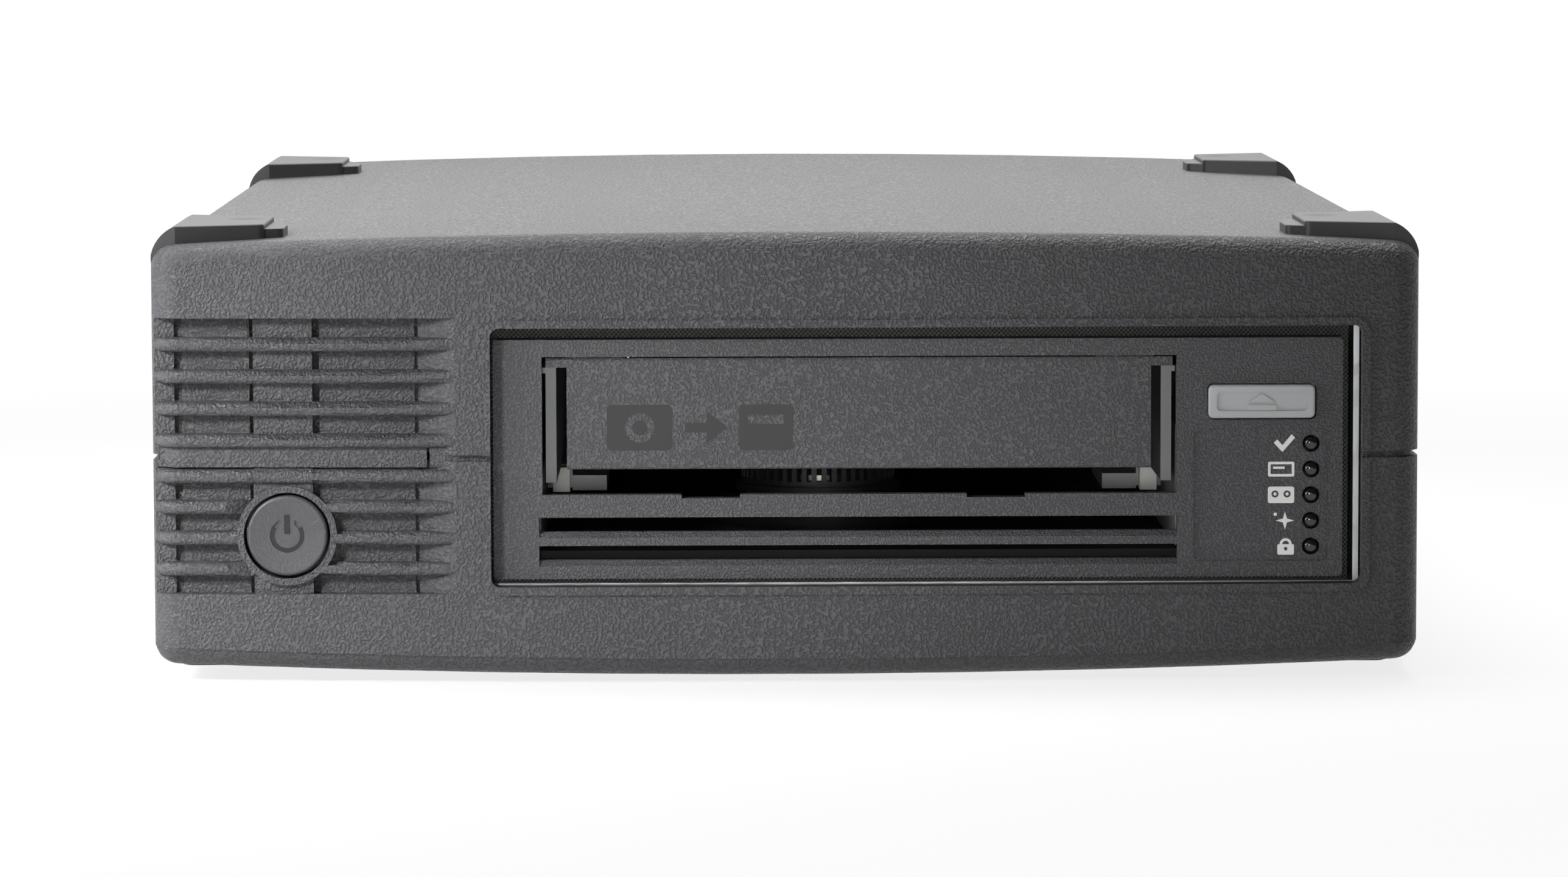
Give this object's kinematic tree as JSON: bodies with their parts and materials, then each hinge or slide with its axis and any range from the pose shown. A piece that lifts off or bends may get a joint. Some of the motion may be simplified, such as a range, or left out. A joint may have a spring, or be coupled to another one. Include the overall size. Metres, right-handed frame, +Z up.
{
  "type": "desktop tape drive",
  "caption": "Desktop data tape drive: a half-height cartridge drive with sprung door, eject key and lamps in a two-shell plastic case with corner feet.",
  "frame": {"origin": "on the standing plane, under the middle of the case", "axes": "+X to the right of the front, +Y to the back, +Z up"},
  "size_m": [0.222, 0.301, 0.0796],
  "materials": {
    "case_plastic": "fine moulded texture, charcoal",
    "foot_rubber": "matte",
    "bezel_plastic": "fine moulded texture, charcoal",
    "key_grey": "satin light grey",
    "lamp_clear": "clear, smoky",
    "gasket_mesh": "knitted metallised mesh",
    "zinc_steel": "zinc plated sheet",
    "screw_steel": "plated",
    "cast_aluminium": "cast",
    "sheet_aluminium": "sheet",
    "black_plastic": "moulded",
    "white_plastic": "moulded acetal",
    "guide_grey": "moulded",
    "green_board": "solder mask",
    "copper_winding": "taped winding",
    "can_blue": "shrink sleeve",
    "chrome_pin": "ground and plated",
    "head_ceramic": "lapped ceramic",
    "cable_black": "vinyl"
  },
  "bodies": {
    "case": {"upper_shell": "case_plastic", "lower_shell": "case_plastic", "top_feet": "foot_rubber", "bottom_feet": "foot_rubber", "case_screws": "screw_steel", "power_switch": "black_plastic", "switch_bracket": "zinc_steel", "drive_bezel": "bezel_plastic", "door_hinge_pin": "chrome_pin", "door_spring": "chrome_pin", "front_board": "green_board", "status_lamps": "lamp_clear", "shield_gasket": "gasket_mesh", "drive_cage": "zinc_steel", "drive_screws": "screw_steel", "mount_bushes": "foot_rubber", "drive_base": "cast_aluminium", "drive_cover": "zinc_steel", "main_board": "green_board", "rear_connector": "black_plastic", "hub_motor": "black_plastic", "reel_motor": "black_plastic", "head_shafts": "chrome_pin", "head_magnet": "zinc_steel", "loader_motor": "zinc_steel", "transport_pins": "chrome_pin", "supply_tray": "zinc_steel", "supply_board": "green_board", "supply_stands": "screw_steel", "supply_transformer": "copper_winding", "supply_capacitors": "can_blue", "supply_heat_sinks": "sheet_aluminium", "rear_panel": "zinc_steel", "fan_frame": "black_plastic", "fan_guard": "screw_steel", "small_screws": "screw_steel", "mains_inlet": "black_plastic", "data_sockets": "zinc_steel", "interface_board": "green_board", "inner_cables": "cable_black"},
    "door": {"cartridge_door": "bezel_plastic"},
    "eject": {"eject_button": "key_grey"},
    "power": {"power_button": "case_plastic"},
    "fan": {"fan_rotor": "black_plastic"},
    "hub": {"drive_hub": "black_plastic", "hub_magnet": "chrome_pin"},
    "reel": {"take_up_reel": "guide_grey"},
    "roller_1": {"guide_roller_1": "sheet_aluminium"},
    "roller_2": {"guide_roller_2": "sheet_aluminium"},
    "roller_3": {"guide_roller_3": "sheet_aluminium"},
    "roller_4": {"guide_roller_4": "sheet_aluminium"},
    "head": {"head_carriage": "cast_aluminium", "tape_head": "head_ceramic"},
    "threader": {"threader_arm": "zinc_steel"},
    "sled": {"loader_sled": "guide_grey"},
    "carrier": {"carrier_guides": "guide_grey", "carrier_blocks": "white_plastic"},
    "gear": {"loader_gear": "white_plastic"},
    "pinion": {"loader_pinion": "white_plastic"}
  },
  "joints": [
    {"name": "door_hinge", "type": "hinge", "parent": "case", "child": "door", "pos_m": [0.01275, -0.1444, 0.05755], "axis": [1, 0, 0], "range_deg": [0, 90], "stiffness_Nm_per_rad": 0.0015, "springref_deg": -20.05},
    {"name": "eject_press", "type": "slide", "parent": "case", "child": "eject", "axis": [0, 1, 0], "range_m": [0, 0.001], "stiffness_N_per_m": 800, "springref_m": -0.0006},
    {"name": "power_press", "type": "slide", "parent": "case", "child": "power", "axis": [0, 1, 0], "range_m": [0, 0.002], "stiffness_N_per_m": 900, "springref_m": -0.001},
    {"name": "fan_spin", "type": "hinge", "parent": "case", "child": "fan", "pos_m": [-0.02, 0.138, 0.0402], "axis": [0, 1, 0], "continuous": true},
    {"name": "hub_spin", "type": "hinge", "parent": "case", "child": "hub", "pos_m": [0.0064, -0.092, 0.026], "axis": [0, 0, 1], "continuous": true},
    {"name": "reel_spin", "type": "hinge", "parent": "case", "child": "reel", "pos_m": [0.012, 0.02, 0.03], "axis": [0, 0, 1], "continuous": true},
    {"name": "roller_1_spin", "type": "hinge", "parent": "case", "child": "roller_1", "pos_m": [0.067, -0.031, 0.036], "axis": [0, 0, 1], "continuous": true},
    {"name": "roller_2_spin", "type": "hinge", "parent": "case", "child": "roller_2", "pos_m": [0.063, -0.015, 0.036], "axis": [0, 0, 1], "continuous": true},
    {"name": "roller_3_spin", "type": "hinge", "parent": "case", "child": "roller_3", "pos_m": [0.063, 0.015, 0.036], "axis": [0, 0, 1], "continuous": true},
    {"name": "roller_4_spin", "type": "hinge", "parent": "case", "child": "roller_4", "pos_m": [0.06, 0.033, 0.036], "axis": [0, 0, 1], "continuous": true},
    {"name": "head_lift", "type": "slide", "parent": "case", "child": "head", "axis": [0, 0, 1], "range_m": [-0.003, 0.003], "stiffness_N_per_m": 600, "springref_m": 0.0007},
    {"name": "thread_swing", "type": "hinge", "parent": "case", "child": "threader", "pos_m": [0.075, 0.04, 0.05], "axis": [0, 0, 1], "range_deg": [-69, 0]},
    {"name": "sled_slide", "type": "slide", "parent": "case", "child": "sled", "axis": [0, 1, 0], "range_m": [0, 0.012]},
    {"name": "carrier_drop", "type": "slide", "parent": "sled", "child": "carrier", "axis": [0, 0, -1], "range_m": [0, 0.006], "stiffness_N_per_m": 300, "springref_m": -0.003},
    {"name": "gear_turn", "type": "hinge", "parent": "case", "child": "gear", "pos_m": [0.08125, -0.1, 0.041], "axis": [0, 0, 1], "range_deg": [-95, 0]},
    {"name": "pinion_turn", "type": "hinge", "parent": "case", "child": "pinion", "pos_m": [0.08125, -0.11285, 0.041], "axis": [0, 0, 1], "range_deg": [0, 155]}
  ],
  "couplings": [
    {"joint": "gear_turn", "follows": "sled_slide", "rad_per_m": -125},
    {"joint": "pinion_turn", "follows": "sled_slide", "rad_per_m": 208.33}
  ]
}
